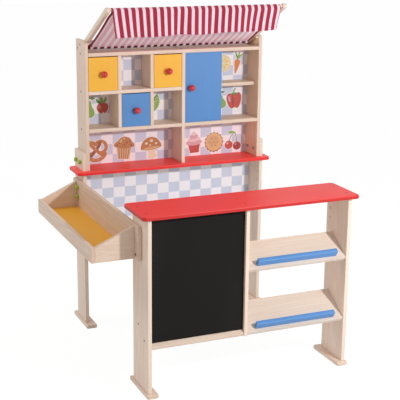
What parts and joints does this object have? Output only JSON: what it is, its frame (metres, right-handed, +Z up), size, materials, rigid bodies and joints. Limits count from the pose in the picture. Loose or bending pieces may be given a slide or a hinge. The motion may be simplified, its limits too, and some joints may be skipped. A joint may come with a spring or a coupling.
{
  "type": "toy market stall",
  "caption": "Wooden play market stall with a counter, slanted display shelves, a blackboard, a side tray, a rear cabinet with drawers and a sliding door, and a striped cloth awning.",
  "frame": {"origin": "on the floor, in the middle of the footprint", "axes": "+Z up; the customer stands on the -Y side and looks along +Y; +X to the customer's right, with the side tray on the -X side"},
  "size_m": [0.899, 0.817, 1.1922],
  "materials": {
    "wood": "clear matt lacquer on pale birch-like wood",
    "red_paint": "satin red paint",
    "red_knob": "gloss red paint",
    "yellow_paint": "satin yellow paint",
    "blue_paint": "satin blue paint",
    "chalkboard": "matt black chalkboard paint",
    "printed_panel": "thin board with a printed check pattern",
    "awning_fabric": "woven red and white stripes",
    "green_plastic": "satin moulded plastic",
    "steel": "zinc plated"
  },
  "bodies": {
    "stall": {"counter_left_panel": "wood", "counter_right_panel": "wood", "counter_divider": "wood", "counter_trough_board": "wood", "upper_slanted_shelf": "wood", "lower_slanted_shelf": "wood", "counter_left_foot": "wood", "counter_right_foot": "wood", "rear_left_post": "wood", "rear_right_post": "wood", "rear_left_foot": "wood", "rear_right_foot": "wood", "cabinet_left_side": "wood", "cabinet_right_side": "wood", "cabinet_top_board": "wood", "main_divider": "wood", "short_dividers": "wood", "mid_shelf": "wood", "lower_shelf_left": "wood", "lower_shelf_right": "wood", "door_shelf": "wood", "tray_inner_wall": "wood", "tray_front_end": "wood", "tray_rear_end": "wood", "tray_outer_lip": "wood", "awning_left_arm": "wood", "awning_right_arm": "wood", "awning_front_rod": "wood", "awning_rear_rod": "wood", "arm_pegs": "wood", "counter_top": "red_paint", "rear_shelf": "red_paint", "tray_bottom": "yellow_paint", "shelf_lips": "blue_paint", "blackboard": "chalkboard", "lower_back_panel": "printed_panel", "upper_back_panel": "printed_panel", "awning_cloth": "awning_fabric", "cabinet_thumb_knobs": "green_plastic", "tray_thumb_knobs": "green_plastic", "knob_bolts": "steel", "knob_nuts": "steel"},
    "drawer_a": {"drawer_a_front": "yellow_paint", "drawer_a_walls": "wood", "drawer_a_bottom": "wood", "drawer_a_knob": "red_knob"},
    "drawer_b": {"drawer_b_front": "blue_paint", "drawer_b_walls": "wood", "drawer_b_bottom": "wood", "drawer_b_knob": "red_knob"},
    "drawer_c": {"drawer_c_front": "yellow_paint", "drawer_c_walls": "wood", "drawer_c_bottom": "wood", "drawer_c_knob": "red_knob"},
    "door": {"sliding_door": "blue_paint", "door_knob": "red_knob"}
  },
  "joints": [
    {"name": "drawer_a_slide", "type": "slide", "parent": "stall", "child": "drawer_a", "axis": [0, -1, 0], "range_m": [0, 0.07]},
    {"name": "drawer_b_slide", "type": "slide", "parent": "stall", "child": "drawer_b", "axis": [0, -1, 0], "range_m": [0, 0.07]},
    {"name": "drawer_c_slide", "type": "slide", "parent": "stall", "child": "drawer_c", "axis": [0, -1, 0], "range_m": [0, 0.07]},
    {"name": "door_slide", "type": "slide", "parent": "stall", "child": "door", "axis": [1, 0, 0], "range_m": [0, 0.147]}
  ]
}
